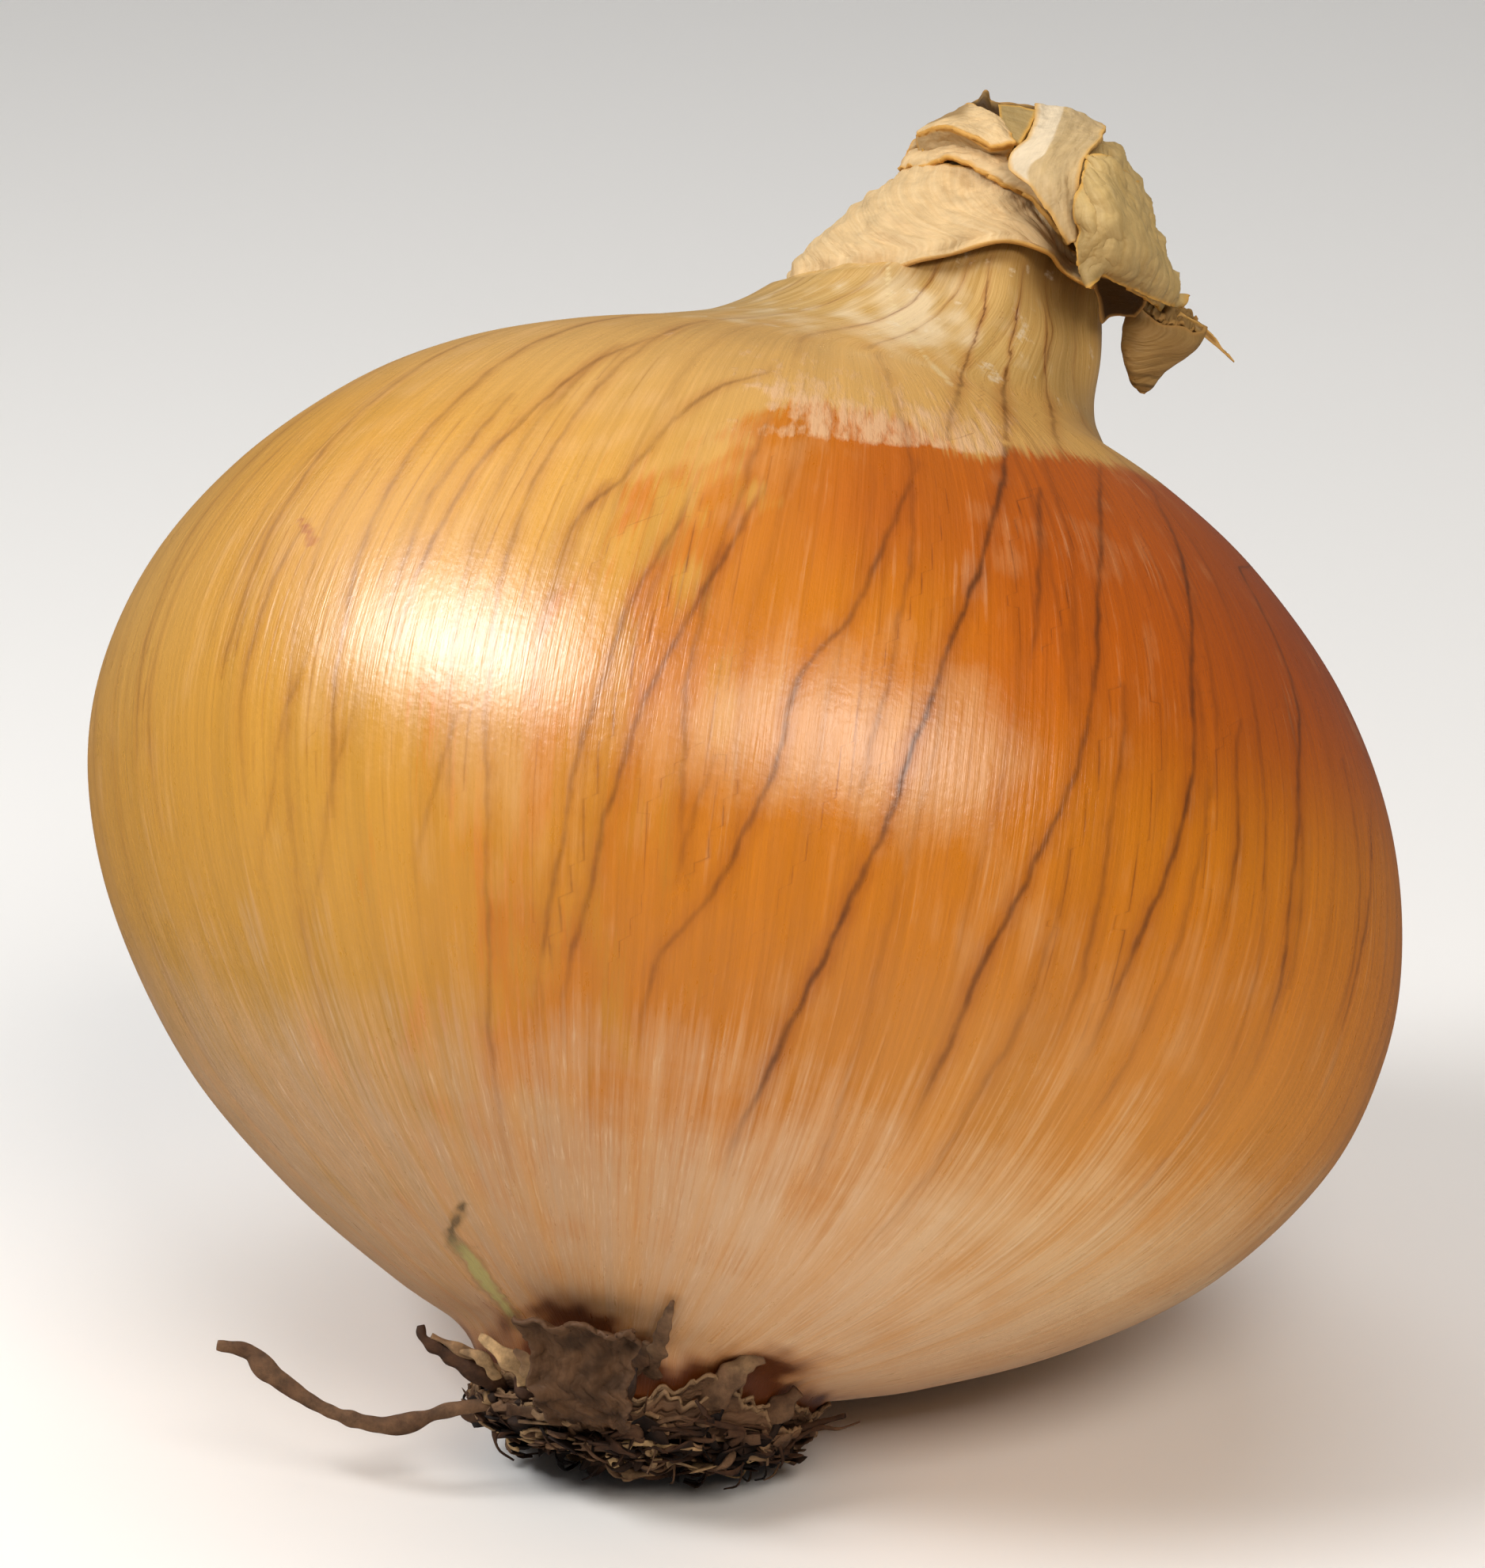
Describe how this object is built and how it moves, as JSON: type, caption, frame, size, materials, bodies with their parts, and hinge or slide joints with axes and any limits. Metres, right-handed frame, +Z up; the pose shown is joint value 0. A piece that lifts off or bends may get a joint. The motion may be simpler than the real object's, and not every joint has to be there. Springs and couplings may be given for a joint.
{
  "type": "onion",
  "caption": "Whole yellow onion lying tilted on one flank, with its dried folded neck and crusty root end.",
  "frame": {"origin": "centre of the small flat spot on the flank that the onion rests on", "axes": "+Z up; the root end faces -Y and down; the stem axis leans back to +Y and a little to +X"},
  "size_m": [0.0824, 0.0798, 0.0788],
  "materials": {
    "onion_skin": "satin",
    "dried_leaf": "matte",
    "pale_dried_leaf": "matte",
    "brown_dried_leaf": "matte",
    "root_crust": "matte",
    "torn_skin": "matte",
    "dried_root": "matte"
  },
  "bodies": {
    "root": {"bulb": "onion_skin", "crown_leaf": "dried_leaf", "crown_strip": "pale_dried_leaf", "crown_corner": "dried_leaf", "hanging_tip": "brown_dried_leaf", "root_crust": "root_crust", "root_flap": "torn_skin", "long_root": "dried_root"}
  },
  "joints": []
}
